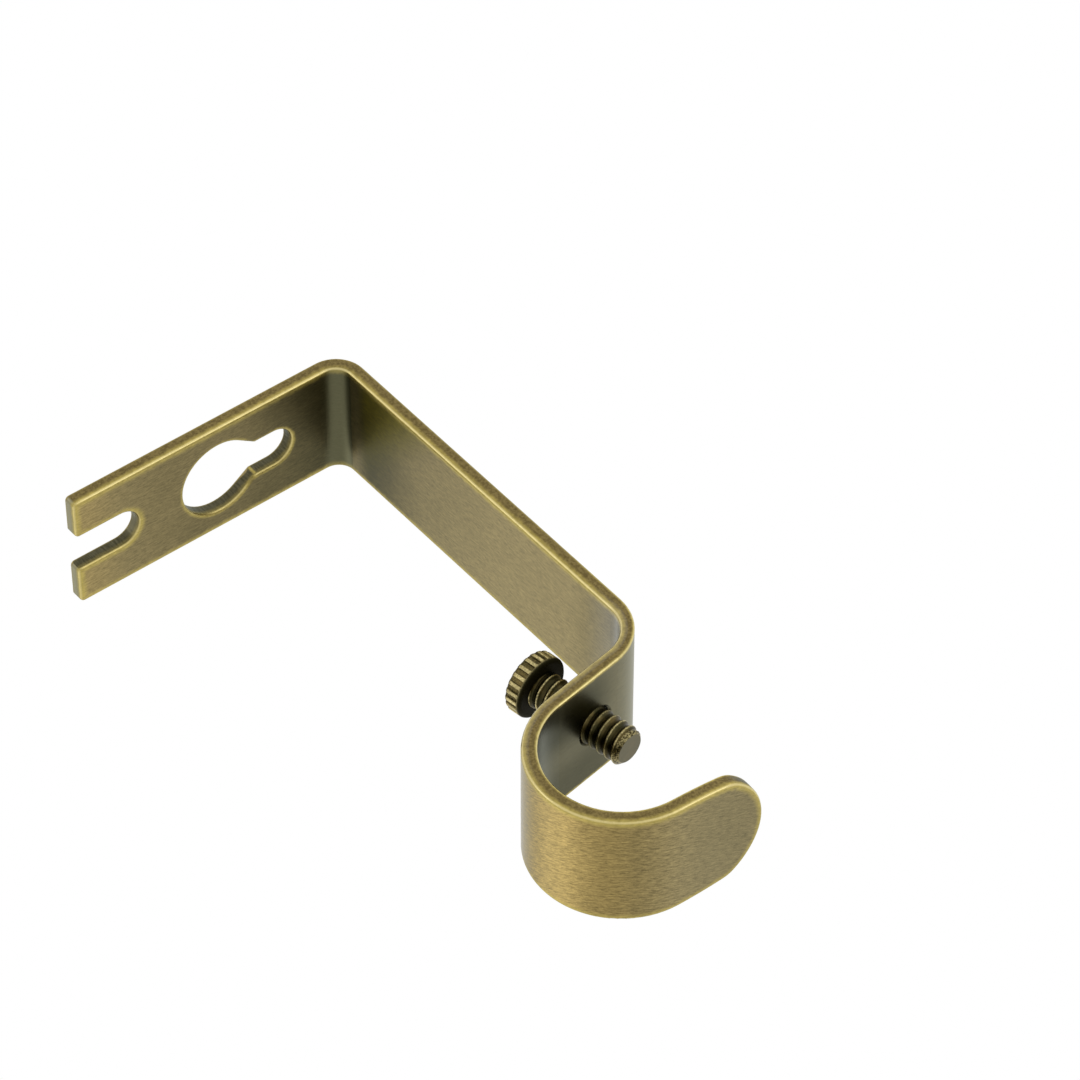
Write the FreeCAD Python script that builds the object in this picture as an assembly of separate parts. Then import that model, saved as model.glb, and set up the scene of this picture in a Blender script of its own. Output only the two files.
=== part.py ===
import FreeCAD, Part
import math
import os

os.makedirs("parts", exist_ok=True)

V = FreeCAD.Vector

# A curtain rod bracket folded from one strip of sheet metal, in the pose in which it
# hangs on a wall. X points away from the wall, Y runs along the rod and Z is up.
# The origin is on the back face of the wall plate, on the strip's centreline, at the
# web between the keyhole and the slot in the free end.

# Strip: the shears roll its edges over on one face and leave a small bevel on the other
sheet = 2.3
strip_width = 20.3
rolled_edge = 0.5
broken_edge = 0.15
edge_share = 0.3

# Wall plate: it hangs down from the wall bend
plate_height = 50.3
origin_height = 15.0
wall_bend_inside = 2.7

# Keyhole: a round hole with a narrow slot above it, joined by short shoulders
keyhole_drop = 24.7
keyhole_radius = 6.5
keyhole_slot = 6.6
keyhole_slot_reach = 13.35
keyhole_shoulder = 0.9

# Slot that is open at the free end of the plate
end_slot = 6.45
end_slot_depth = 11.1
end_corner = 0.7

# Arm, shoulder bend and the neck that carries the thumbscrew
rod_projection = 88.3
shoulder_inside = 6.15
shoulder_turn = 81.2
shoulder_spread = 0.65
neck_length = 12.75

# Cup for the rod and its upright tip
cup_radius = 11.7
cup_turn = 168.4
tip_length = 14.3
tip_taper = 0.55
tip_rise = 5.6
tip_corner = 4.0

# Thumbscrew
screw_diameter = 6.0
screw_length = 16.8
screw_standout = 6.55
screw_above_cup = 7.6
screw_point = 0.7
head_diameter = 9.9
head_thickness = 3.0
head_bevel = 0.6
knurl_count = 22
knurl_length = 2.3
knurl_depth = 0.35
knurl_share = 0.6
knurl_narrowing = 0.6
screw_turn = 6.6

# The thumbscrew turns in the neck with this clearance all round
thread_clearance = 0.06
hole_bevel = 0.35

# Points closer than this count as touching, and faces that meet at more than this
# many degrees count as a crease
touching = 0.001
crease_angle = 14.0

# Derived places
half_width = strip_width / 2
most_edge = edge_share * sheet
wall_bend_mid = wall_bend_inside + sheet / 2
shoulder_mid = shoulder_inside + sheet / 2
cup_mid = cup_radius + sheet / 2
neck_slope = math.radians(shoulder_turn)
arm_straight = (
    rod_projection
    - sheet
    - wall_bend_inside
    - shoulder_mid * math.sin(neck_slope)
    - neck_length * math.cos(neck_slope)
    - cup_mid * math.sin(neck_slope)
)
free_end_z = -origin_height
keyhole_z = free_end_z + plate_height - keyhole_drop
slot_end_z = free_end_z + end_slot_depth


def along(angle):
    """Unit vector in the XZ plane, at an angle from +X towards +Z."""
    return V(math.cos(angle), 0, math.sin(angle))


def left(angle):
    """Unit vector on the left of the direction of travel."""
    return V(-math.sin(angle), 0, math.cos(angle))


def walk():
    """The bends of the strip's mid-line, with the point and direction at each end of it."""
    place = V(sheet / 2, 0, free_end_z)
    heading = math.pi / 2
    start = (place, heading)
    runs = [plate_height - sheet - wall_bend_inside, arm_straight, neck_length, tip_length]
    turns = [
        (-math.pi / 2, wall_bend_mid, 0.0),
        (-neck_slope, shoulder_mid, shoulder_spread),
        (math.radians(cup_turn), cup_mid, 0.0),
    ]
    bends = []
    for run, (turn, radius, spread) in zip(runs, turns):
        place = place + along(heading) * run
        side = math.copysign(1, turn)
        centre = place + left(heading) * (side * radius)
        bends.append({"centre": centre, "from": heading, "turn": turn, "radius": radius, "spread": spread})
        heading = heading + turn
        place = centre - left(heading) * (side * radius)
    place = place + along(heading) * runs[-1]
    return start, bends, (place, heading)


def face_line(offset):
    """Edges of one face of the sheet, offset to the left of the mid-line."""
    start, bends, end = walk()
    last = start[0] + left(start[1]) * offset
    edges = []
    for bend in bends:
        side = math.copysign(1, bend["turn"])
        radius = bend["radius"] - side * offset
        centre = bend["centre"]
        middle = bend["from"] + bend["turn"] / 2
        if radius > bend["radius"]:
            # the metal spreads over the outside of the bend
            radius = radius + bend["spread"]
            centre = centre + left(middle) * (side * bend["spread"] / math.cos(bend["turn"] / 2))
        points = []
        for heading in (bend["from"], middle, bend["from"] + bend["turn"]):
            points.append(centre - left(heading) * (side * radius))
        edges.append(Part.LineSegment(last, points[0]).toShape())
        edges.append(Part.Arc(*points).toShape())
        last = points[-1]
    finish = end[0] + left(end[1]) * offset
    edges.append(Part.LineSegment(last, finish).toShape())
    return edges


def polygon_edges(points):
    """Straight edges through the points, in order."""
    return [Part.LineSegment(a, b).toShape() for a, b in zip(points, points[1:])]


def folded_strip():
    """The strip's side view, swept across its width."""
    outer = face_line(sheet / 2)
    inner = face_line(-sheet / 2)
    caps = []
    for k in (0, -1):
        ends = [edges[k].Vertexes[k].Point for edges in (outer, inner)]
        caps.append(Part.LineSegment(*ends).toShape())
    wire = Part.Wire(Part.__sortEdges__(outer + inner + caps))
    profile = Part.Face(wire)
    profile.translate(V(0, -half_width, 0))
    return profile.extrude(V(0, strip_width, 0))


def through_plate(edges):
    """A cutter through the wall plate, from a closed outline in the plane of its back face."""
    face = Part.Face(Part.Wire(Part.__sortEdges__(edges)))
    face.translate(V(-sheet, 0, 0))
    return face.extrude(V(3 * sheet, 0, 0))


def keyhole_cutter():
    """Round hole, two straight shoulders tangent to it and a slot with a round end."""
    half_slot = keyhole_slot / 2
    corner_far = keyhole_radius + keyhole_shoulder
    corner_up = math.sqrt(corner_far**2 - half_slot**2)
    touch = math.atan2(half_slot, corner_up) + math.acos(keyhole_radius / corner_far)
    centre = V(0, 0, keyhole_z)

    def polar(angle, sign):
        return centre + V(0, sign * keyhole_radius * math.sin(angle), keyhole_radius * math.cos(angle))

    top = keyhole_slot_reach - half_slot
    right = [polar(touch, 1), centre + V(0, half_slot, corner_up), centre + V(0, half_slot, top)]
    left_side = [polar(touch, -1), centre + V(0, -half_slot, corner_up), centre + V(0, -half_slot, top)]
    bottom = Part.Arc(right[0], polar(math.pi, 1), left_side[0]).toShape()
    crown = Part.Arc(right[2], centre + V(0, 0, keyhole_slot_reach), left_side[2]).toShape()
    return through_plate(polygon_edges(right) + polygon_edges(left_side) + [bottom, crown])


def end_slot_cutter():
    """Slot with a round inner end, open at the free end of the plate."""
    half_slot = end_slot / 2
    low = free_end_z - sheet
    high = slot_end_z - half_slot
    sides = [V(0, -half_slot, high), V(0, -half_slot, low), V(0, half_slot, low), V(0, half_slot, high)]
    crown = Part.Arc(sides[0], V(0, 0, slot_end_z), sides[-1]).toShape()
    return through_plate(polygon_edges(sides) + [crown])


def tip_waste():
    """What is sheared off the end of the strip to leave a tapered tip with an arched end."""
    place, heading = walk()[2]
    reach = along(heading)
    across = left(heading)
    corner = half_width - tip_taper
    root = place - reach * tip_length

    def spot(back, y):
        return place - reach * back + V(0, y, 0)

    # each flank leaves the side of the strip as a wide arc, tangent to it
    flank = tip_length - tip_rise
    sweep = 2 * math.atan2(tip_taper, flank)
    bow = flank / math.sin(sweep)
    half_way = (tip_length - bow * math.sin(sweep / 2), half_width - bow * (1 - math.cos(sweep / 2)))
    edges = []
    for side in (-1, 1):
        points = [spot(tip_length, side * half_width), spot(half_way[0], side * half_way[1])]
        points.append(spot(tip_rise, side * corner))
        edges.append(Part.Arc(*points).toShape())
    edges.append(Part.LineSegment(spot(tip_length, -half_width), spot(tip_length, half_width)).toShape())
    edges.append(Part.Arc(spot(tip_rise, -corner), place, spot(tip_rise, corner)).toShape())
    keep = Part.Face(Part.Wire(Part.__sortEdges__(edges)))
    margin = sheet
    frame = [
        root + V(0, -half_width - margin, 0),
        root + V(0, half_width + margin, 0),
        place + reach * margin + V(0, half_width + margin, 0),
        place + reach * margin + V(0, -half_width - margin, 0),
    ]
    blank = Part.Face(Part.makePolygon(frame + frame[:1]))
    waste = blank.cut(keep)
    waste.translate(across * (-sheet))
    return waste.extrude(across * (2 * sheet))


def screw_line():
    """Where the thumbscrew's axis meets the mid-line of the neck, and the way it points."""
    cup = walk()[1][2]
    heading = cup["from"]
    foot = cup["centre"] - left(heading) * cup["radius"]
    return foot - along(heading) * screw_above_cup, left(heading)


def screw_hole_cutter():
    """The hole in the neck, bevelled at both faces of the sheet."""
    place, axis = screw_line()
    radius = screw_diameter / 2 + thread_clearance
    cutter = Part.makeCylinder(radius, 3 * sheet, place - axis * (1.5 * sheet), axis)
    for way in (1, -1):
        mouth = place + axis * (way * (sheet / 2 - hole_bevel))
        depth = hole_bevel + sheet / 4
        cone = Part.makeCone(radius, radius + depth, depth, mouth, axis * way)
        cutter = cutter.fuse(cone)
    return cutter


def mid_point(edge):
    """The point half-way along an edge."""
    return edge.valueAt((edge.FirstParameter + edge.LastParameter) / 2)


def is_crease(shape, edge):
    """True where the two faces at an edge meet at an angle."""
    faces = shape.ancestorsOfType(edge, Part.Face)
    if len(faces) != 2:
        return False
    normals = []
    for face in faces:
        u, v = face.Surface.parameter(mid_point(edge))
        normals.append(face.normalAt(u, v))
    return abs(normals[0].dot(normals[1])) < math.cos(math.radians(crease_angle))


def face_creases(shape, offset):
    """The creases of one face of the sheet, the face that lies this far from the mid-line."""
    line = Part.Wire(face_line(offset))
    creases = []
    for edge in shape.Edges:
        point = mid_point(edge)
        side_view = Part.Vertex(V(point.x, 0, point.z))
        if side_view.distToShape(line)[0] < touching and is_crease(shape, edge):
            creases.append(edge)
    return creases


def corners_at(shape, level):
    """The edges through the sheet at this place in the side view."""
    corners = []
    for edge in shape.Edges:
        point = mid_point(edge)
        if V(point.x, 0, point.z).distanceToPoint(level) < touching:
            corners.append(edge)
    return corners


def make_bracket():
    """The strip with its outline and openings, and the edges of both its faces."""
    start, bends, end = walk()
    body = folded_strip().cut(tip_waste())
    body = body.cut(end_slot_cutter())
    body = body.cut(keyhole_cutter())
    body = body.makeFillet(tip_corner, corners_at(body, end[0] - along(end[1]) * tip_rise))
    body = body.makeFillet(end_corner, corners_at(body, start[0]))
    body = body.makeFillet(min(rolled_edge, most_edge), face_creases(body, -sheet / 2))
    body = body.makeChamfer(min(broken_edge, most_edge), face_creases(body, sheet / 2))
    body = body.cut(screw_hole_cutter())
    return body.removeSplitter()


def make_thumbscrew():
    """A plain shank with a bevelled point under a knurled head, on its own axis."""
    radius = screw_diameter / 2
    head_radius = head_diameter / 2
    outline = [
        V(0, 0, screw_length),
        V(radius - screw_point, 0, screw_length),
        V(radius, 0, screw_length - screw_point),
        V(radius, 0, 0),
        V(head_radius - head_bevel, 0, 0),
        V(head_radius, 0, -head_bevel),
        V(head_radius, 0, head_bevel - head_thickness),
        V(head_radius - head_bevel, 0, -head_thickness),
        V(0, 0, -head_thickness),
    ]
    profile = Part.Face(Part.makePolygon(outline + outline[:1]))
    screw = profile.revolve(V(0, 0, 0), V(0, 0, 1), 360)

    pitch_angle = 2 * math.pi / knurl_count
    half_top = head_radius * math.sin(pitch_angle * knurl_share / 2)
    half_floor = half_top * knurl_narrowing
    floor = head_radius - knurl_depth
    crest = head_radius + knurl_depth
    half_crest = half_top + (half_top - half_floor)
    section = [
        V(floor, -half_floor, -head_thickness - head_bevel),
        V(floor, half_floor, -head_thickness - head_bevel),
        V(crest, half_crest, -head_thickness - head_bevel),
        V(crest, -half_crest, -head_thickness - head_bevel),
    ]
    groove = Part.Face(Part.makePolygon(section + section[:1])).extrude(V(0, 0, knurl_length + head_bevel))
    grooves = []
    for k in range(knurl_count):
        tool = groove.copy()
        tool.rotate(V(0, 0, 0), V(0, 0, 1), math.degrees(k * pitch_angle))
        grooves.append(tool)
    screw = screw.cut(Part.makeCompound(grooves))

    place, axis = screw_line()
    back = screw_length - screw_standout - sheet / 2
    turn = FreeCAD.Rotation(V(0, 0, 1), axis) * FreeCAD.Rotation(V(0, 0, 1), screw_turn)
    screw.Placement = FreeCAD.Placement(place - axis * back, turn)
    return screw


bracket = make_bracket()
thumbscrew = make_thumbscrew()

for name, shape in (("bracket", bracket), ("thumbscrew", thumbscrew)):
    solid = shape.Solids[0]
    box = solid.BoundBox
    print(name, len(shape.Solids), shape.isValid(), round(solid.Volume, 3))
    print(" ", round(box.XMin, 3), round(box.XMax, 3), round(box.YMin, 3), round(box.YMax, 3))
    print(" ", round(box.ZMin, 3), round(box.ZMax, 3))
    solid.exportStep("parts/" + name + ".step")
place, axis = screw_line()
print("screw axis", place, axis)
print("cup centre", walk()[1][2]["centre"])
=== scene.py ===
import math
from types import SimpleNamespace

import bmesh
import bpy
from bpy.props import FloatProperty, FloatVectorProperty, IntProperty, PointerProperty
from mathutils import Matrix, Vector


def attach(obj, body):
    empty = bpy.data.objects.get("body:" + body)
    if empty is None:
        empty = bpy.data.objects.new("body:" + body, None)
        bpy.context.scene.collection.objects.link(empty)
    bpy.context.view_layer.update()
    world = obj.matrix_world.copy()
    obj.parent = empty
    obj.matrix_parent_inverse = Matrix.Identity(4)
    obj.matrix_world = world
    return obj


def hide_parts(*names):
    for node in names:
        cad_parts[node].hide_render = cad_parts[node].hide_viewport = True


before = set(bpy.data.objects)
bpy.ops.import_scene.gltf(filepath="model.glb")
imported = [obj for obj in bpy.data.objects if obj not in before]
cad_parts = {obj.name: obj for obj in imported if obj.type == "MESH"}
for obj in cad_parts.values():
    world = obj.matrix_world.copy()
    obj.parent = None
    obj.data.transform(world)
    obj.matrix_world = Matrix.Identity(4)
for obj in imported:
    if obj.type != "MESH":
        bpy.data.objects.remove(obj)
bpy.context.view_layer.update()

bl_info = {
    "name": "Curtain rod bracket",
    "version": (1, 0, 0),
    "blender": (4, 5, 0),
    "location": "3D View > Sidebar > Rod bracket",
    "description": "Dresses a folded rod bracket and its thumbscrew in aged, brushed brass",
    "category": "Object",
}

MM = 0.001

# Side view of the folded strip, in millimetres in the bracket's frame: centres are (x, z), a
# bend's MID is its radius at the middle of the sheet, and headings turn from +X to +Z
SHEET = 2.3
HALF_WIDTH = 10.15
FREE_END = -15.0
WALL_BEND = (5.0, 30.3)
WALL_BEND_MID = 3.85
SHOULDER = (66.4365, 26.85)
SHOULDER_MID = 7.3
SHOULDER_SPREAD = 0.65
CUP = (88.3, 17.33275)
CUP_MID = 12.85
NECK_HEADING = math.radians(-81.2)
NECK_FROM = 60.0
NECK_LENGTH = 12.75
TIP_HEADING = math.radians(87.2)
TIP_LENGTH = 14.3
TIP_TAPER = 0.55
TIP_RISE = 5.6
TIP_ARCH = ((HALF_WIDTH - TIP_TAPER) ** 2 + TIP_RISE**2) / (2 * TIP_RISE)
TIP_FLANK = TIP_LENGTH - TIP_RISE
TIP_BLEND = 1.0

# Openings in the wall plate: radii, and heights of the centres of their arcs. The corner where
# the keyhole's slot begins stands KEYHOLE_SHOULDER outside the round hole.
KEYHOLE_Z = 10.6
KEYHOLE_RADIUS = 6.5
KEYHOLE_SLOT = 3.3
KEYHOLE_TOP = 20.65
KEYHOLE_BLEND = 0.9
KEYHOLE_SHOULDER = 0.9
KEYHOLE_CORNER = KEYHOLE_Z + math.sqrt((KEYHOLE_RADIUS + KEYHOLE_SHOULDER) ** 2 - KEYHOLE_SLOT**2)
END_SLOT = 3.225
END_SLOT_TOP = -7.125

# Stands for the distance to an edge that a run of the strip doesn't have
NO_EDGE = 99.0

# Thumbscrew: its axis crosses the middle of the neck here
SCREW_PLACE = (74.43857, 0.0, 22.87742)
SCREW_AXIS = (0.98822838, 0.0, 0.15298584)
SCREW_HOLE = 3.06

# Noise cells per millimetre: along the strip, across it and through the sheet
STROKE_CELLS = (0.75, 3.7, 1.0)
BROAD_CELLS = (0.06, 0.9, 0.2)
# The same along X, Y and Z, for the streaks that the punch left
PUNCH_CELLS = (0.6, 4.0, 4.0)

# The cup was brushed across its curve: how far its strokes drift from the strip's direction
DRIFT_X = 0.52
DRIFT_Z = -0.41
DRIFT_START = 2.1

# Places along the middle of the strip, in millimetres from its free end. A row of rises is from,
# to and how much; a band starts, is full, fades and is gone.
# Patina and painted shade, deepening toward the wall bend on the plate and on the arm
PLATE_PATINA_AND_SHADE = ((-1, 16, 0.34), (24, 46, 0.56))
ARM_PATINA_AND_SHADE = ((52, 56, 0.42), (54, 70, -0.62), (60, 92, -0.3), (102, 110, 0.25))
ARM_PATINA_START = 0.5
ARM_PATINA_END = 118
# Darker on the +Y half of the plate beside the keyhole
KEYHOLE_DARKENING = (16, 22, 32, 38)
# Painted shade: a darker band across the outside of the cup
CUP_SHADE = (158, 166, 167, 173)
TIP_PATINA = (176, 186)
# Patina and painted shade on the back face, with a darker band on the back of the cup toward -Y
BACK_PATINA_AND_SHADE = (120, 128)
BACK_CUP_PATINA_AND_SHADE = (133, 139, 145, 153)
# Painted grey sheen: on the back face, on the front of the tip, and on the front by the shoulder and
# neck where the glaze is
BACK_SHEEN = ((112, 124, 0.9), (142, 160, -0.63))
TIP_SHEEN = (170, 180)
GLAZE_AND_SHEEN = (106, 116, 142, 154)
# Painted reflection: a lighter stripe in the hollow of the wall bend
HOLLOW = (44.2, 46.6, 50.2, 52.0)
# Painted reflection of the plate in the arm, where the arm leaves the bend
OLIVE_START = (52.5, 55.5)
OLIVE_END = (54, 65)
# Brighter, yellower brass over the outside of the cup, where it is a painted highlight, and near the
# free end
CUP_HIGHLIGHT = (138, 150, 163, 173)
FREE_END_GOLD = (1, 10)
CUP_STROKES = (148, 154, 170, 178)
BRIGHT_BACK = (96, 116)

# Painted shadow of the screw on the back face: its place along the strip and across it
SCREW_SHADOW = (132.5, -5.5)

# Rubbed edges of the rolled front face and of the back face, in millimetres: reach of the golden
# halo over the face and down the side, then the bright line's place on both and its width
FRONT_HALO = (1.3, 1.1)
BACK_HALO = (0.7, 0.5)
FRONT_LINE = (0.04, 0.12, 0.32)
BACK_LINE = (0.0, 0.0, 0.26)


def shade(red, green, blue):
    """Scene colour from the three 8-bit values that a screen shows."""
    linear = []
    for value in (red, green, blue):
        share = value / 255
        linear.append(share / 12.92 if share <= 0.04045 else ((share + 0.055) / 1.055) ** 2.4)
    return tuple(linear)


class Value:
    """A node's output. Arithmetic on it adds Math nodes to the same tree."""

    def __init__(self, graph, socket):
        self.graph = graph
        self.socket = socket

    def math(self, operation, *others):
        return self.graph.add("ShaderNodeMath", {"operation": operation}, [self, *others])

    def __add__(self, other):
        return self.math("ADD", other)

    __radd__ = __add__

    def __mul__(self, other):
        return self.math("MULTIPLY", other)

    __rmul__ = __mul__

    def __sub__(self, other):
        return self.math("SUBTRACT", other)

    def __rsub__(self, other):
        return self.graph.add("ShaderNodeMath", {"operation": "SUBTRACT"}, [other, self])

    def __abs__(self):
        return self.math("ABSOLUTE")

    def __lt__(self, other):
        return self.math("LESS_THAN", other)

    def __gt__(self, other):
        return self.math("GREATER_THAN", other)

    def floor_at(self, least):
        return self.math("MAXIMUM", least)

    def cap_at(self, most):
        return self.math("MINIMUM", most)

    def step(self, low, high):
        """0 below low, 1 above high and a smooth rise between them."""
        return self.graph.add(
            "ShaderNodeMapRange",
            {"interpolation_type": "SMOOTHSTEP"},
            {"Value": self, "From Min": low, "From Max": high},
        )

    def band(self, start, full, fading, gone):
        """0 below start, 1 from full to fading and 0 again above gone."""
        return self.step(start, full) * (1 - self.step(fading, gone))

    def rises(self, rows):
        """Sum of smooth rises, one for each row of from, to and how much."""
        return sum(self.step(low, high) * amount for low, high, amount in rows)


class Graph:
    """A node tree that is written as Python expressions."""

    def __init__(self, tree):
        self.tree = tree
        tree.nodes.clear()

    def add(self, kind, settings=None, values=None, output=0):
        """Adds a node: its settings first, then the values or links of its sockets."""
        node = self.tree.nodes.new(kind)
        for name, setting in (settings or {}).items():
            setattr(node, name, setting)
        pairs = enumerate(values) if isinstance(values, list) else (values or {}).items()
        for key, value in pairs:
            if isinstance(value, Value):
                self.tree.links.new(value.socket, node.inputs[key])
            else:
                node.inputs[key].default_value = value
        return Value(self, node.outputs[output]) if node.outputs else None

    def place(self):
        """The point's coordinates in the piece's own frame, in millimetres."""
        here = self.add("ShaderNodeTexCoord", output="Object")
        scaled = self.add("ShaderNodeVectorMath", {"operation": "SCALE"}, {0: here, "Scale": 1 / MM})
        return [self.add("ShaderNodeSeparateXYZ", values=[scaled], output=k) for k in range(3)]

    def point(self, x, y, z):
        return self.add("ShaderNodeCombineXYZ", values=[x, y, z])

    def noise(self, point, scale, detail=2.0, roughness=0.5):
        """Noise about zero, up to a half either way, with scale as cells per unit of the point."""
        values = {"Vector": point, "Scale": scale, "Detail": detail, "Roughness": roughness}
        return self.add("ShaderNodeTexNoise", values=values) - 0.5

    def mix(self, share, first, second):
        """Colour that goes from first to second as share goes from 0 to 1."""
        first, second = (end if isinstance(end, Value) else (*end, 1) for end in (first, second))
        values = {0: share, 6: first, 7: second}
        return self.add("ShaderNodeMix", {"data_type": "RGBA"}, values, output=2)

    def scale_colour(self, colour, factor):
        """Colour times a number that varies over the surface."""
        return self.add("ShaderNodeVectorMath", {"operation": "SCALE"}, {0: colour, "Scale": factor})

    def finish(self, **sockets):
        """The metal shader and the output."""
        shader = self.add("ShaderNodeBsdfPrincipled", values={"Metallic": 1.0, **sockets})
        self.add("ShaderNodeOutputMaterial", values={"Surface": shader})


def choose(mask, yes, no):
    """Number that is yes where the mask is 1 and no where it is 0."""
    return mask * yes + (1 - mask) * no


def hypot(a, b):
    return (a * a + b * b).math("SQRT")


def across(x, z, centre, heading):
    """How far a point is past a centre along a heading, and to the left of it."""
    ahead = (x - centre[0]) * math.cos(heading) + (z - centre[1]) * math.sin(heading)
    aside = (z - centre[1]) * math.cos(heading) - (x - centre[0]) * math.sin(heading)
    return ahead, aside


def strip_map(x, z):
    """Where a point is on the strip: along it from the free end, deep in it and on which run."""
    corner_x = (WALL_BEND[0] - x).floor_at(0)
    corner_z = (z - WALL_BEND[1]).floor_at(0)
    plate_run = WALL_BEND[1] - FREE_END
    arm_run = SHOULDER[0] - WALL_BEND[0]
    at_shoulder = plate_run + WALL_BEND_MID * math.pi / 2 + arm_run
    at_neck = at_shoulder - SHOULDER_MID * NECK_HEADING
    at_cup = at_neck + NECK_LENGTH
    at_tip = at_cup + CUP_MID * (TIP_HEADING - NECK_HEADING)

    arm_along = z.cap_at(WALL_BEND[1]) + (x - WALL_BEND[0]).floor_at(0) - FREE_END
    arm_along = arm_along + corner_z.math("ARCTAN2", corner_x) * WALL_BEND_MID
    arm_depth = hypot(corner_x, corner_z) - WALL_BEND_MID

    # the metal spreads over the outside of the shoulder bend
    half_turn = -NECK_HEADING / 2
    shift = SHOULDER_SPREAD / math.cos(half_turn)
    outer_x = SHOULDER[0] - shift * math.sin(half_turn)
    outer_z = SHOULDER[1] - shift * math.cos(half_turn)
    out_x = x - SHOULDER[0]
    up_z = z - SHOULDER[1]
    radius = hypot(out_x, up_z)
    outer = hypot(x - outer_x, z - outer_z) - (SHOULDER_MID + SHOULDER_SPREAD)
    shoulder_depth = choose(radius > SHOULDER_MID, outer, radius - SHOULDER_MID)
    shoulder_along = out_x.math("ARCTAN2", up_z) * SHOULDER_MID + at_shoulder

    past_shoulder, beside = across(x, z, SHOULDER, NECK_HEADING)
    past_neck, toward = across(x, z, CUP, NECK_HEADING)
    past_cup, tip_side = across(x, z, CUP, TIP_HEADING)
    cup_along = past_neck.math("ARCTAN2", -1 * toward) * CUP_MID + at_cup

    on_arm = x < SHOULDER[0]
    on_neck = (past_shoulder > 0) * (past_neck < 0) * (x > NECK_FROM) * (x < CUP[0])
    on_tip = (past_cup > 0) * (x > CUP[0])
    in_cup = (1 - on_arm) * (1 - on_neck) * (past_neck > 0) * (x < CUP[0])
    in_cup = in_cup + (x > CUP[0]) * (past_cup < 0)
    along, depth = shoulder_along, shoulder_depth
    for mask, run_along, run_depth in (
        (on_arm, arm_along, arm_depth),
        (on_neck, past_shoulder + at_neck, beside - SHOULDER_MID),
        (in_cup, cup_along, CUP_MID - hypot(x - CUP[0], z - CUP[1])),
        (on_tip, past_cup + at_tip, tip_side + CUP_MID),
    ):
        along = choose(mask, run_along, along)
        depth = choose(mask, run_depth, depth)
    return SimpleNamespace(
        along=along,
        depth=depth,
        in_plate=x < WALL_BEND[0],
        on_neck=on_neck,
        on_tip=on_tip,
        past_cup=past_cup,
    )


def outline_distance(x, y, z, strip):
    """Distance in the plane of the sheet to its outline, to an opening and to the screw's hole."""
    circle = hypot(y, z - KEYHOLE_Z) - KEYHOLE_RADIUS
    past_slot = (z - KEYHOLE_TOP).floor_at(0) - (KEYHOLE_Z - z).floor_at(0)
    slot = hypot(y, past_slot) - KEYHOLE_SLOT
    keyhole = circle.math("SMOOTH_MIN", slot, KEYHOLE_BLEND)
    end_slot = hypot(y, (z - END_SLOT_TOP).floor_at(0)) - END_SLOT
    openings = choose(strip.in_plate, keyhole.cap_at(end_slot), NO_EDGE)

    past_screw, _ = across(x, z, (SCREW_PLACE[0], SCREW_PLACE[2]), NECK_HEADING)
    hole = choose(strip.on_neck, hypot(y, past_screw) - SCREW_HOLE, NO_EDGE)

    side = HALF_WIDTH - abs(y)
    arch = TIP_ARCH - hypot(y, strip.past_cup - (TIP_LENGTH - TIP_ARCH))
    narrowing = (strip.past_cup * (1 / TIP_FLANK)).floor_at(0).cap_at(1)
    flank = side - narrowing * narrowing * TIP_TAPER
    tip = flank.math("SMOOTH_MIN", arch, TIP_BLEND)
    edge = side.cap_at(choose(strip.in_plate, z - FREE_END, NO_EDGE))
    return choose(strip.on_tip, tip, edge), openings, hole


def read_strip(graph):
    """Everything about a point of the strip that its finish depends on."""
    x, y, z = graph.place()
    strip = strip_map(x, z)
    strip.x, strip.y, strip.z = x, y, z
    strip.front = strip.depth < 0
    strip.past_end = z - FREE_END
    strip.edge, openings, hole = outline_distance(x, y, z, strip)
    strip.below_face = (SHEET / 2 - abs(strip.depth)).floor_at(0)
    strip.rubbed = strip.edge.cap_at(openings).floor_at(0)
    strip.nearest = strip.rubbed.cap_at(hole).floor_at(0)
    strip.sheared = (strip.below_face - strip.nearest).step(0.02, 0.4)
    strip.punched = strip.sheared * (strip.edge - openings.cap_at(hole)).step(0.0, 0.1)
    # where the painted reflection in the hollow of the wall bend lies
    strip.hollow = strip.along.band(*HOLLOW) * strip.front
    # the glaze, which also carries a painted grey sheen
    strip.glazed = strip.along.band(*GLAZE_AND_SHEEN) * strip.front
    return strip


def strip_grain(graph, strip):
    """Noises of the finish: brush strokes and broad bands along the strip, streaks and specks."""
    x, y, z = strip.x, strip.y, strip.z
    drift = ((x - CUP[0]) * DRIFT_X + (z - CUP[1]) * DRIFT_Z).floor_at(DRIFT_START)

    def cells(place, counts):
        return graph.point(*(value * count for value, count in zip(place, counts)))

    strokes = cells((strip.along, y + drift, strip.depth), STROKE_CELLS)
    bands = cells((strip.along, y, strip.depth), BROAD_CELLS)
    here = graph.point(x, y, z)
    return SimpleNamespace(
        fine=graph.noise(strokes, 1.0, 3.0, 0.8),
        broad=graph.noise(bands, 1.0, 2.0),
        clouds=graph.noise(here, 0.16, 3.0),
        speckle=graph.noise(here, 3.2, 3.0, 0.65),
        mottle=graph.noise(here, 1.7, 2.0, 0.6),
        ragged=graph.noise(here, 1.1, 3.0, 0.6),
        streaks=graph.noise(cells((x, y, z), PUNCH_CELLS), 1.0, 2.0, 0.6),
    )


COLOUR = {"size": 3, "min": 0.0, "max": 1.0, "subtype": "COLOR"}


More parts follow.
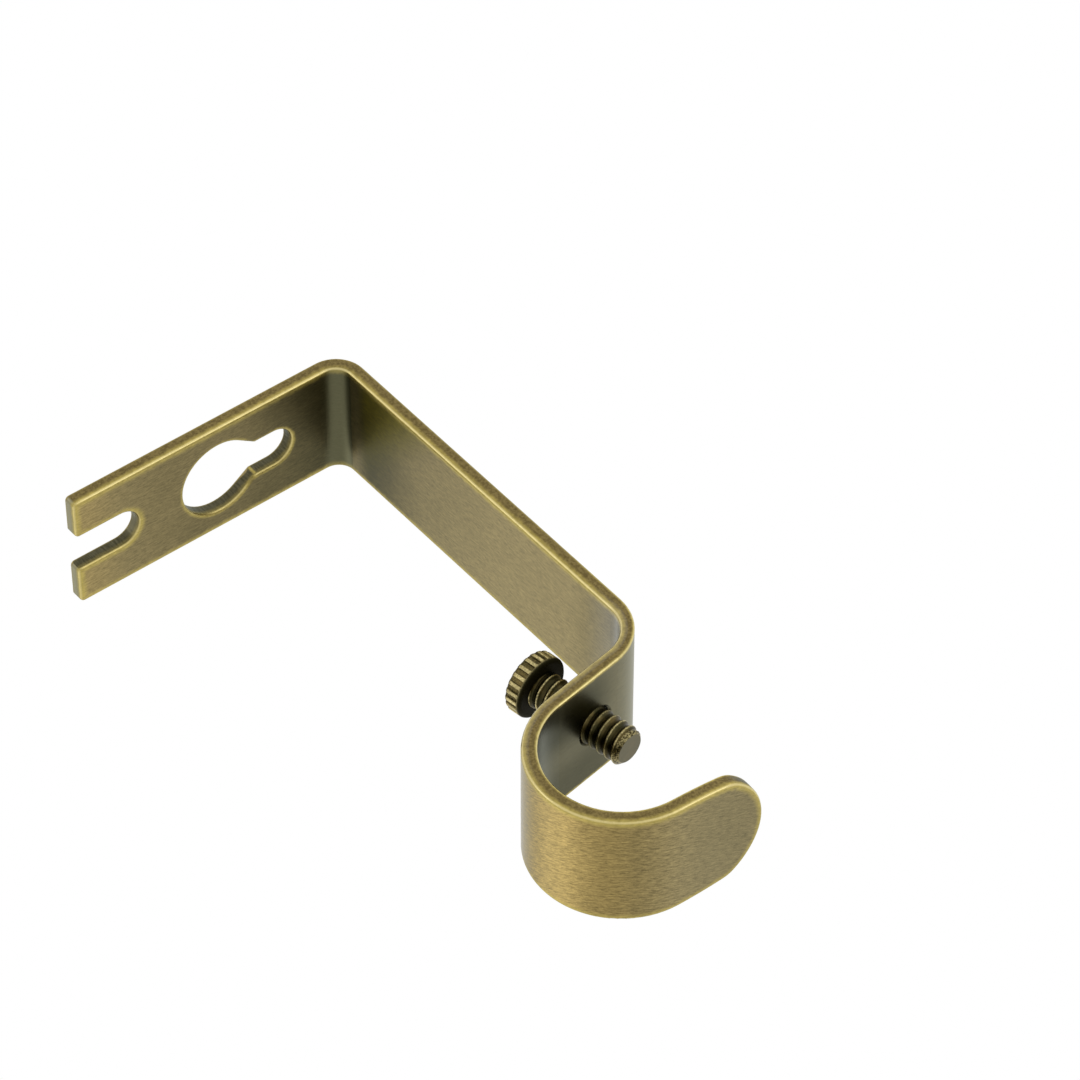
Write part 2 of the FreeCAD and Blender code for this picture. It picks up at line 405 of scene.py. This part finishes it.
class StripFinish(bpy.types.PropertyGroup):
    """Colours of the aged brass and of the light and shade painted on it, and the strength of its
    strokes and its gloss.
    """

    field: FloatVectorProperty(
        name="Field",
        description="Brushed brass of the broad faces",
        default=shade(150, 135, 93),
        **COLOUR,
    )
    # Brighter, yellower brass over the outside of the cup, where it is a painted highlight, and near
    # the free end
    golden: FloatVectorProperty(
        name="Golden",
        description="Yellower brass where the cup is rubbed bright",
        default=shade(174, 151, 93),
        **COLOUR,
    )
    # Patina, and also the colour of the painted shade in the bends and of the painted shadow beside
    # the screw
    patina: FloatVectorProperty(
        name="Patina",
        description="Olive patina in the bends and round the screw",
        default=shade(64, 60, 36),
        **COLOUR,
    )
    # Painted reflection of the plate in the arm where it leaves the wall bend
    olive: FloatVectorProperty(
        name="Olive",
        description="Deep olive where the arm leaves the wall bend",
        default=shade(94, 86, 20),
        **COLOUR,
    )
    # Painted reflection: a lighter grey-green stripe in the hollow of the wall bend
    hollow: FloatVectorProperty(
        name="Hollow",
        description="Grey-green film in the hollow of the wall bend",
        default=shade(102, 101, 76),
        **COLOUR,
    )
    brown: FloatVectorProperty(
        name="Brown",
        description="Brown patina of the mottled sheared sides",
        default=shade(130, 114, 70),
        **COLOUR,
    )
    worn: FloatVectorProperty(
        name="Worn edge",
        description="Bright metal where the patina is rubbed off",
        default=shade(226, 210, 150),
        **COLOUR,
    )
    gold: FloatVectorProperty(
        name="Gold halo",
        description="Yellow metal that shows through beside a worn edge",
        default=shade(188, 170, 94),
        **COLOUR,
    )
    sheared: FloatVectorProperty(
        name="Sheared side",
        description="Dark patina on the sheared sides of the strip",
        default=shade(102, 88, 52),
        **COLOUR,
    )
    punched: FloatVectorProperty(
        name="Punched wall",
        description="Dark patina on the walls of the openings",
        default=shade(66, 63, 44),
        **COLOUR,
    )
    # Grey-green that stands in for light: a painted sheen on the front and on the back face, and
    # painted highlights on the free end's cut faces and on the walls of the openings
    grey_green: FloatVectorProperty(
        name="Smoked",
        description="Grey-green film on the back face and the cut ends",
        default=shade(117, 112, 88),
        **COLOUR,
    )
    grain: FloatProperty(
        name="Grain",
        description="Contrast of the brushed strokes",
        default=1.7,
        min=0.0,
        max=3.0,
        subtype="FACTOR",
    )
    roughness: FloatProperty(
        name="Roughness",
        description="Roughness of the brushed front face",
        default=0.42,
        min=0.1,
        max=1.0,
        subtype="FACTOR",
    )


class ScrewShape(bpy.types.PropertyGroup):
    """Sizes of the thumbscrew that the thread and the knurl follow."""

    radius: FloatProperty(
        name="Radius",
        description="Radius over the crests of the thread",
        default=3.0 * MM,
        unit="LENGTH",
    )
    root: FloatProperty(
        name="Root",
        description="Radius at the roots of the thread",
        default=2.68 * MM,
        unit="LENGTH",
    )
    pitch: FloatProperty(
        name="Pitch",
        description="Distance between two crests",
        default=1.45 * MM,
        unit="LENGTH",
    )
    head: FloatProperty(
        name="Head radius",
        description="Radius over the knurled head",
        default=4.95 * MM,
        unit="LENGTH",
    )
    knurl_depth: FloatProperty(
        name="Knurl depth",
        description="Depth of a knurl groove",
        default=0.3 * MM,
        unit="LENGTH",
    )
    knurls: IntProperty(
        name="Knurls",
        description="Ridges round the head",
        default=22,
        min=8,
        max=60,
    )


class StageSettings(bpy.types.PropertyGroup):
    """Floor and light."""

    floor_depth: FloatProperty(
        name="Floor depth",
        description="How far the floor lies below the bracket",
        default=1.4,
        unit="LENGTH",
    )
    floor_size: FloatProperty(
        name="Floor size",
        description="Side of the floor",
        default=8.0,
        unit="LENGTH",
    )
    fill: FloatProperty(
        name="Fill",
        description="Strength of the world on matt surfaces",
        default=0.6,
        min=0.0,
        max=1.0,
        subtype="FACTOR",
    )


def face_colour(graph, strip, grain, brass):
    """Brushed brass of the broad faces, with the patina, strokes and painted light and shade of each
    place.
    """
    along, y, front = strip.along, strip.y, strip.front

    # patina and painted shade: little on the free end and the arm, much toward the bends and on the
    # back face, with a painted shadow of the screw and a painted darker band across the cup
    plate = along.rises(PLATE_PATINA_AND_SHADE) + along.band(*KEYHOLE_DARKENING) * y.step(0, 8) * 0.16
    arm = along.rises(ARM_PATINA_AND_SHADE) + ARM_PATINA_START
    cup = along.band(*CUP_SHADE) * 0.3 + along.step(*TIP_PATINA) * 0.08
    on_front = choose(strip.in_plate, plate, arm) * (along < ARM_PATINA_END) + cup
    # painted shadow of the screw on the back face, beside its hole
    screw_shadow = 1 - hypot(y - SCREW_SHADOW[1], (along - SCREW_SHADOW[0]) * 0.8).step(1.5, 8.0)
    on_back = along.step(*BACK_PATINA_AND_SHADE) * (0.32 + y.step(-1, 7) * 0.5) + screw_shadow * 0.6
    on_back = on_back + along.band(*BACK_CUP_PATINA_AND_SHADE) * (0.4 - y.step(-6, 4) * 0.3)
    patina = choose(front, on_front, on_back) + grain.clouds * 0.2 + grain.broad * 0.12

    # brighter, yellower brass: a painted highlight over the cup's outside, and near the free end
    golden = (along.band(*CUP_HIGHLIGHT) + (1 - along.step(*FREE_END_GOLD)) * 0.4) * front
    # painted grey sheen on the front by the shoulder and the tip, and over the back face
    sheen = choose(front, strip.glazed * 0.45 + along.step(*TIP_SHEEN) * 0.3, along.rises(BACK_SHEEN))
    # painted reflection of the plate in the arm, lighter toward -Y
    olive = along.step(*OLIVE_START) * (1 - (along + y * 0.9).step(*OLIVE_END)) * front
    face = graph.mix(golden, brass.field, brass.golden)
    face = graph.mix(sheen, face, brass.grey_green)
    face = graph.mix(patina.floor_at(0).cap_at(1), face, brass.patina)
    face = graph.mix(olive * 0.85, face, graph.scale_colour(brass.olive, 1 - y * 0.05))
    # painted reflection in the hollow of the wall bend
    face = graph.mix(strip.hollow * 0.8, face, brass.hollow)

    contrast = choose(front, 1 + along.band(*CUP_STROKES) * 0.5 - strip.hollow * 0.7, 0.45)
    strokes = (grain.fine + grain.speckle * 0.25) * contrast * brass.grain
    # the screw's painted shadow darkens the back face a little more
    return graph.scale_colour(face, 1 + strokes - screw_shadow * (1 - front) * 0.12)


def side_colour(graph, strip, grain, brass):
    """Mottled patina of the sheared sides, darker round the tip, with a painted highlight on the
    free end's cut faces.
    """
    tip_cut = strip.sheared * strip.on_tip * (HALF_WIDTH - abs(strip.y)).step(1.2, 2.4)
    lit_end_face = strip.sheared * (1 - strip.past_end.step(0.3, 0.6)) * strip.in_plate
    mottled = (grain.mottle * 0.5 + grain.speckle).step(-0.16, 0.16)
    sides = graph.mix(mottled, brass.sheared, brass.brown)
    sides = graph.mix(tip_cut * 0.6, sides, brass.patina)
    # painted highlight on the cut faces at the free end
    return graph.mix(lit_end_face, sides, [part * 1.75 for part in brass.grey_green])


def wall_colour(graph, strip, grain, brass):
    """Punched walls streaked between dark patina and a painted lit grey, with painted light on their
    round ends and a painted highlight at the keyhole's corner.
    """
    # painted light on the walls at the round ends of the openings
    lit_round_end = (1 - abs(strip.y).step(1.6, 3.0)) * (strip.z < KEYHOLE_Z) * strip.in_plate
    pale = (grain.streaks.step(-0.3, 0.4) * 0.65 + lit_round_end * 0.8).cap_at(1)
    from_corner = hypot(abs(strip.y) - KEYHOLE_SLOT, strip.z - KEYHOLE_CORNER)
    # painted highlight along the corner where the keyhole's slot begins
    rubbed = (1 - from_corner.step(0.05, 0.4)) * strip.in_plate
    walls = graph.mix(pale, brass.punched, brass.grey_green)
    return graph.mix(rubbed * 0.8, walls, brass.gold)


def rubbed_edges(graph, strip, grain, brass, colour):
    """Colour with a golden halo and a bright line along the edges, and where that line is."""
    front, rubbed, below = strip.front, strip.rubbed, strip.below_face
    at_opening = (strip.edge - strip.nearest).step(0, 0.5)
    at_end = (1 - strip.past_end.step(0.8, 2.4)) * strip.in_plate
    dull = (1 - front) * (1 - strip.along.step(*BRIGHT_BACK)) * 0.6
    wander = grain.ragged * 0.6

    on_front = 1 / FRONT_HALO[0] + at_opening * (strip.z > 0) * 0.45 - at_end * 0.09
    over_face = rubbed * choose(front, on_front, 1 / BACK_HALO[0])
    down_side = below * choose(front, 1 / FRONT_HALO[1], 1 / BACK_HALO[1])
    halo = 1 - (hypot(over_face, down_side) + wander).step(0.15, 1.05)

    over, down, width = (choose(front, *pair) for pair in zip(FRONT_LINE, BACK_LINE))
    line = 1 - (hypot(rubbed - over, below - down) + wander * 0.25).step(0.08, width)
    line = line * (1 - (at_opening + at_end).cap_at(1) * 0.4)

    gold = graph.scale_colour(brass.gold, 1 + grain.fine * brass.grain * 0.6 + grain.mottle * 0.4)
    shown = halo * (1 - strip.punched * 0.6) * (0.9 - dull - strip.hollow * 0.4)
    colour = graph.mix(shown, colour, gold)
    colour = graph.mix(line * (1 - strip.punched * 0.5) * (0.75 - dull), colour, brass.worn)
    return colour, line


def brushed_strip(brass):
    """Aged brass for the folded strip: brushed faces, sheared sides and rubbed edges."""
    material = bpy.data.materials.new("antique_brass_brushed")
    material.use_nodes = True
    graph = Graph(material.node_tree)
    strip = read_strip(graph)
    grain = strip_grain(graph, strip)
    colour = face_colour(graph, strip, grain, brass)
    colour = graph.mix(strip.sheared, colour, side_colour(graph, strip, grain, brass))
    colour = graph.mix(strip.punched, colour, wall_colour(graph, strip, grain, brass))
    colour, line = rubbed_edges(graph, strip, grain, brass, colour)

    roughness = choose(strip.front, brass.roughness, brass.roughness * 0.75)
    roughness = roughness + grain.fine * 0.2 + strip.sheared * 0.08 - line * 0.14
    height = grain.fine * (1 - strip.sheared) + grain.speckle * (0.1 + strip.sheared)
    relief = {"Strength": 0.35, "Distance": 0.03 * MM, "Height": height}
    graph.finish(
        **{
            "Base Color": colour,
            "Roughness": roughness,
            "Normal": graph.add("ShaderNodeBump", values=relief),
            "Specular Tint": (0.86, 0.9, 0.88, 1),
            "Coat Weight": strip.glazed * 0.8,
            "Coat Roughness": 0.2,
        }
    )
    return material


class ROD_OT_dress_strip(bpy.types.Operator):
    """Give the folded strip its brushed and aged finish"""

    bl_idname = "rod_bracket.dress_strip"
    bl_label = "Dress the strip"

    def execute(self, context):
        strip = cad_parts["bracket"]
        strip.material_slots[0].material = brushed_strip(context.scene.rod_strip)
        return {"FINISHED"}


# Thread and head of the screw: distances along its axis from the middle of the neck
SCREW_POINT = 7.7 * MM
POINT_BEVEL = 0.7 * MM
HEAD_UNDER = -9.1 * MM
HEAD_TOP = -12.1 * MM
THREAD_START = 2.4825 * MM
ROUND = 96

# One turn of thread from crest to crest: share of the pitch, share of the depth
THREAD_PROFILE = (
    (0.0, 0.0),
    (0.045, 0.02),
    (0.085, 0.09),
    (0.15, 0.32),
    (0.22, 0.6),
    (0.29, 0.86),
    (0.345, 0.98),
    (0.42, 1.0),
    (0.5, 0.96),
    (0.58, 1.0),
    (0.655, 0.98),
    (0.71, 0.86),
    (0.78, 0.6),
    (0.85, 0.32),
    (0.915, 0.09),
    (0.955, 0.02),
)

# Knurl: angle of its first ridge, half a ridge as a share of the angle between two (3.2 degrees
# with 22 ridges), how far a ridge's edges are rounded off, and the points on a ridge and in a
# groove, counted in half ridges from the middle of the ridge
RIDGE_START = math.radians(14.78)
HALF_RIDGE = 3.2 * 22 / 360
RIDGE_ROUNDING = 0.05 * MM
RIDGE_POINTS = (-1.0, -0.75, 0.0, 0.75, 1.0)
GROOVE_POINTS = (1.35, 1.9, 2.556, 3.21, 3.76)

# Head from its face to its underside: distance along the axis, how far the ring lies inside the
# head's radius, share of the knurl's depth
HEAD_PROFILE = (
    (HEAD_TOP, 0.6 * MM, 0.0),
    (HEAD_TOP + 0.12 * MM, 0.27 * MM, 0.35),
    (HEAD_TOP + 0.3 * MM, 0.1 * MM, 0.8),
    (HEAD_TOP + 0.5 * MM, 0.0, 1.0),
    (HEAD_TOP + 1.4 * MM, 0.0, 1.0),
    (HEAD_UNDER - 0.85 * MM, 0.0, 1.0),
    (HEAD_UNDER - 0.7 * MM, 0.0, 0.75),
    (HEAD_UNDER - 0.6 * MM, 0.0, 0.15),
    (HEAD_UNDER - 0.52 * MM, 0.0, 0.0),
    (HEAD_UNDER - 0.3 * MM, 0.1 * MM, 0.0),
    (HEAD_UNDER - 0.1 * MM, 0.3 * MM, 0.0),
    (HEAD_UNDER, 0.6 * MM, 0.0),
)

# Radii of the rings of faces on the head's two flats and on the screw's point
HEAD_RINGS = (4.2 * MM, 3.0 * MM, 1.5 * MM)
UNDERSIDE_RINGS = (4.2 * MM, 3.6 * MM, 3.0 * MM)
POINT_RINGS = (1.6 * MM, 0.8 * MM)
SHARPEST_SMOOTH = math.radians(32)
WELD = 0.0001 * MM


def round_vert(mesh, radius, angle, place):
    return mesh.verts.new((radius * math.cos(angle), radius * math.sin(angle), place))


def threaded_shank(mesh, shape):
    """Rows that climb with the thread, cut off at the head and at the bevelled point."""
    depth = shape.radius - shape.root
    turns = math.ceil((SCREW_POINT - HEAD_UNDER) / shape.pitch) + 2
    first = math.floor((HEAD_UNDER - THREAD_START) / shape.pitch) - 1
    end_radius = shape.radius - POINT_BEVEL
    rows = []
    for turn in range(first, first + turns + 1):
        for share, sunk in THREAD_PROFILE:
            row = []
            for k in range(ROUND + 1):
                rise = THREAD_START + (turn + share + k / ROUND) * shape.pitch
                rise = min(max(rise, HEAD_UNDER), SCREW_POINT)
                radius = min(shape.radius - sunk * depth, end_radius + SCREW_POINT - rise)
                row.append(round_vert(mesh, radius, 2 * math.pi * k / ROUND, rise))
            rows.append(row)
    for low, high in zip(rows, rows[1:]):
        for k in range(ROUND):
            mesh.faces.new((low[k], low[k + 1], high[k + 1], high[k]))
    return rows


def knurled_head(mesh, shape):
    """Head with ridges round its rim, that fade out before the underside."""
    turn = 2 * math.pi / shape.knurls
    spots = []
    for k in range(shape.knurls):
        for share in RIDGE_POINTS:
            sunk = RIDGE_ROUNDING if abs(share) == 1.0 else 0.0
            spots.append((RIDGE_START + (k + share * HALF_RIDGE) * turn, sunk))
        for share in GROOVE_POINTS:
            spots.append((RIDGE_START + (k + share * HALF_RIDGE) * turn, shape.knurl_depth))
    loops = []
    for place, inset, cut in HEAD_PROFILE:
        rim = shape.head - inset
        loops.append([round_vert(mesh, rim - sunk * cut, angle, place) for angle, sunk in spots])
    count = len(spots)
    for low, high in zip(loops, loops[1:]):
        for k in range(count):
            mesh.faces.new((low[k], low[(k + 1) % count], high[(k + 1) % count], high[k]))
    return loops


def disc(mesh, loop, radii, place, up):
    """Rings of faces inward from a loop, to a fan at the centre."""
    count = len(loop)
    previous = loop
    for radius in radii:
        angles = [math.atan2(vert.co.y, vert.co.x) for vert in previous]
        ring = [round_vert(mesh, radius, angle, place) for angle in angles]
        for k in range(count):
            corners = (previous[k], previous[(k + 1) % count], ring[(k + 1) % count], ring[k])
            mesh.faces.new(corners if up else corners[::-1])
        previous = ring
    hub = mesh.verts.new((0, 0, place))
    for k in range(count):
        corners = (previous[k], previous[(k + 1) % count], hub)
        mesh.faces.new(corners if up else corners[::-1])


def screw_matrix():
    """The screw's own frame: its Z is the axis and its Y is the bracket's Y."""
    axis = Vector(SCREW_AXIS)
    side = Vector((0, 1, 0))
    cross = side.cross(axis)
    place = Vector(SCREW_PLACE) * MM
    return Matrix([(cross[k], side[k], axis[k], place[k]) for k in range(3)] + [(0, 0, 0, 1)])


def screw_finish(brass, shape):
    """Aged brass for the screw: painted shade in the thread's roots and under the head, dark
    grooves, bright crests and ridges.
    """
    material = bpy.data.materials.new("antique_brass_turned")
    material.use_nodes = True
    graph = Graph(material.node_tree)
    x, y, z = graph.place()
    here = graph.point(x, y, z)
    speckle = graph.noise(here, 4.0, 3.0, 0.6)
    clouds = graph.noise(here, 0.5, 2.0)
    top, under, end = HEAD_TOP / MM, HEAD_UNDER / MM, SCREW_POINT / MM
    crests, roots, head = shape.radius / MM, shape.root / MM, shape.head / MM

    radius = hypot(x, y)
    uneven = radius + speckle * 0.1
    on_head = z < under + 0.01
    on_end = z > end - 0.02
    rim = on_head * (1 - abs(z - (top + under) / 2 + 0.1).step(0.7, 1.4))
    shaded = on_head * z.step(under - 0.7, under - 0.3)
    # painted shade in the roots of the thread
    root_shade = (1 - radius.step(roots - 0.06, roots + 0.17)) * (1 - on_head) * (1 - on_end)
    dark = graph.mix(clouds.step(-0.1, 0.3), brass.patina, brass.sheared)
    dark = graph.mix(rim * speckle.step(-0.2, 0.2) * 0.6, dark, brass.brown)
    dark = graph.mix(shaded, dark, brass.patina)
    dark = graph.scale_colour(dark, 1 - shaded * 0.45 - root_shade * 0.4 + speckle * 0.7)
    colour = graph.mix(on_end * 0.65, dark, brass.grey_green)

    # bright metal: crests, fainter where they leave the neck for the cup, ridges and the bevel
    specks = speckle.step(-0.08, 0.1)
    fade = (z > 0) * (1 - z.step(1.5, 6.5)) * 0.6
    crest = uneven.step(crests - 0.12, crests) * (1 - on_head) * (0.3 + specks * 0.45) * (1 - fade)
    ridge = uneven.step(head - 0.25, head + 0.03) * rim * (0.45 + speckle.step(-0.15, 0.15) * 0.4)
    bevel = (z > end - 0.75) * (1 - on_end) * specks
    bright = crest.floor_at(ridge).floor_at(bevel * 0.5)
    relief = {"Strength": 0.4, "Distance": 0.03 * MM, "Height": speckle}
    graph.finish(
        **{
            "Base Color": graph.mix(bright * 0.9, colour, brass.worn),
            "Roughness": 0.42 - bright * 0.1 + shaded * 0.3 + speckle * 0.15,
            "Normal": graph.add("ShaderNodeBump", values=relief),
        }
    )
    return material


class ROD_OT_cut_thumbscrew(bpy.types.Operator):
    """Build the thumbscrew with its thread and its knurled head"""

    bl_idname = "rod_bracket.cut_thumbscrew"
    bl_label = "Cut the thumbscrew"

    def execute(self, context):
        shape = context.scene.rod_screw
        mesh = bmesh.new()
        rows = threaded_shank(mesh, shape)
        loops = knurled_head(mesh, shape)
        disc(mesh, loops[0], HEAD_RINGS, HEAD_TOP, False)
        disc(mesh, loops[-1], UNDERSIDE_RINGS, HEAD_UNDER, True)
        disc(mesh, rows[-1][:ROUND], POINT_RINGS, SCREW_POINT, True)
        bmesh.ops.remove_doubles(mesh, verts=mesh.verts, dist=WELD)
        bmesh.ops.dissolve_degenerate(mesh, edges=mesh.edges, dist=WELD)
        bmesh.ops.recalc_face_normals(mesh, faces=mesh.faces)
        for face in mesh.faces:
            face.smooth = True
        for edge in mesh.edges:
            edge.smooth = edge.calc_face_angle(0) < SHARPEST_SMOOTH
        data = bpy.data.meshes.new("thumbscrew_turned")
        mesh.to_mesh(data)
        mesh.free()
        screw = bpy.data.objects.new("thumbscrew_turned", data)
        context.scene.collection.objects.link(screw)
        screw.matrix_world = screw_matrix()
        data.materials.append(screw_finish(context.scene.rod_strip, shape))
        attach(screw, "thumbscrew")
        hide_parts("thumbscrew")
        return {"FINISHED"}


# The camera sees the bracket lying on its side, so it is rolled and stands below it
CAMERA_PLACE = (468.32914, -553.12262, -299.55779)
CAMERA_TURN = (0.347437937, 0.830763033, -0.168361920, 0.400966239)
CAMERA_LENS = 176.7541

# Soft lamps: direction from the middle of the bracket, distance, side and radiance
LAMP_TARGET = (50, 0, 15)
LAMPS = {
    "key": ((-0.2, -0.75, 0.75), 1.4, 0.8, 0.4),
    "left_edge": ((-0.5, -0.45, -0.74), 1.4, 0.5, 1.0),
    "right_edge": ((0.71, -0.55, 0.44), 1.4, 0.5, 1.0),
    "low": ((-0.26, 0.71, -0.65), 1.4, 0.75, 0.75),
}


def set_camera(scene):
    data = bpy.data.cameras.new("view")
    data.sensor_width = 36.0
    data.lens = CAMERA_LENS
    data.clip_start = 0.01
    data.clip_end = 20.0
    camera = bpy.data.objects.new("view", data)
    camera.location = Vector(CAMERA_PLACE) * MM
    camera.rotation_mode = "QUATERNION"
    camera.rotation_quaternion = CAMERA_TURN
    scene.collection.objects.link(camera)
    scene.camera = camera


def rays(graph, *kinds):
    """1 for the kinds of ray that are named, 0 for the rest."""
    return sum(graph.add("ShaderNodeLightPath", output=kind) for kind in kinds).cap_at(1)


def lay_floor(scene, settings):
    """A pale floor that keeps its shadow, and that metal sees as a plain white studio."""
    mesh = bmesh.new()
    bmesh.ops.create_grid(mesh, x_segments=4, y_segments=4, size=settings.floor_size / 2)
    data = bpy.data.meshes.new("floor")
    mesh.to_mesh(data)
    mesh.free()
    floor = bpy.data.objects.new("floor", data)
    floor.location = (LAMP_TARGET[0] * MM, 0, -settings.floor_depth)
    scene.collection.objects.link(floor)

    material = bpy.data.materials.new("floor")
    material.use_nodes = True
    graph = Graph(material.node_tree)
    matt = {"Base Color": (0.86, 0.86, 0.85, 1), "Roughness": 0.8}
    pale = graph.add("ShaderNodeBsdfPrincipled", values=matt)
    white = graph.add("ShaderNodeEmission", values={"Strength": 0.95})
    reflected = rays(graph, "Is Glossy Ray", "Is Transmission Ray")
    cover = graph.add("ShaderNodeMixShader", values=[reflected, pale, white])
    graph.add("ShaderNodeOutputMaterial", values={"Surface": cover})
    data.materials.append(material)


def light_world(scene, settings):
    """A world that is white to look at and in reflections, and weaker as a light."""
    world = bpy.data.worlds.new("studio")
    scene.world = world
    world.use_nodes = True
    graph = Graph(world.node_tree)
    shown = rays(graph, "Is Camera Ray", "Is Glossy Ray", "Is Transmission Ray")
    strength = settings.fill + shown * (1 - settings.fill)
    glow = graph.add("ShaderNodeBackground", values={"Color": (1, 1, 1, 1), "Strength": strength})
    graph.add("ShaderNodeOutputWorld", values={"Surface": glow})


def hang_lamp(scene, name, toward, distance, size, radiance):
    """A soft square lamp in a direction from the bracket, aimed back at it."""
    target = Vector(LAMP_TARGET) * MM
    data = bpy.data.lights.new(name, "AREA")
    data.size = size
    data.energy = radiance * math.pi * size * size
    light = bpy.data.objects.new(name, data)
    light.location = target + Vector(toward).normalized() * distance
    light.rotation_euler = (light.location - target).to_track_quat("Z", "Y").to_euler()
    scene.collection.objects.link(light)


class ROD_OT_set_stage(bpy.types.Operator):
    """Set the camera, the floor and the light"""

    bl_idname = "rod_bracket.set_stage"
    bl_label = "Set the stage"

    def execute(self, context):
        scene = context.scene
        scene.view_settings.view_transform = "Standard"
        set_camera(scene)
        lay_floor(scene, scene.rod_stage)
        light_world(scene, scene.rod_stage)
        for name, lamp in LAMPS.items():
            hang_lamp(scene, name, *lamp)
        return {"FINISHED"}


class ROD_PT_panel(bpy.types.Panel):
    """The steps and their settings"""

    bl_idname = "ROD_PT_panel"
    bl_label = "Rod bracket"
    bl_space_type = "VIEW_3D"
    bl_region_type = "UI"
    bl_category = "Rod bracket"

    def draw(self, context):
        layout = self.layout
        for step, name in zip(STEPS, GROUPS):
            layout.operator(step.bl_idname)
            group = getattr(context.scene, name)
            for setting in group.__annotations__:
                layout.prop(group, setting)


STEPS = (ROD_OT_dress_strip, ROD_OT_cut_thumbscrew, ROD_OT_set_stage)
GROUPS = {"rod_strip": StripFinish, "rod_screw": ScrewShape, "rod_stage": StageSettings}
CLASSES = (*GROUPS.values(), *STEPS, ROD_PT_panel)


def register():
    for kind in CLASSES:
        bpy.utils.register_class(kind)
    for name, group in GROUPS.items():
        setattr(bpy.types.Scene, name, PointerProperty(type=group))


def unregister():
    for name in GROUPS:
        delattr(bpy.types.Scene, name)
    for kind in reversed(CLASSES):
        bpy.utils.unregister_class(kind)


def main():
    register()
    bpy.ops.rod_bracket.dress_strip()
    bpy.ops.rod_bracket.cut_thumbscrew()
    bpy.ops.rod_bracket.set_stage()


if __name__ == "__main__":
    main()
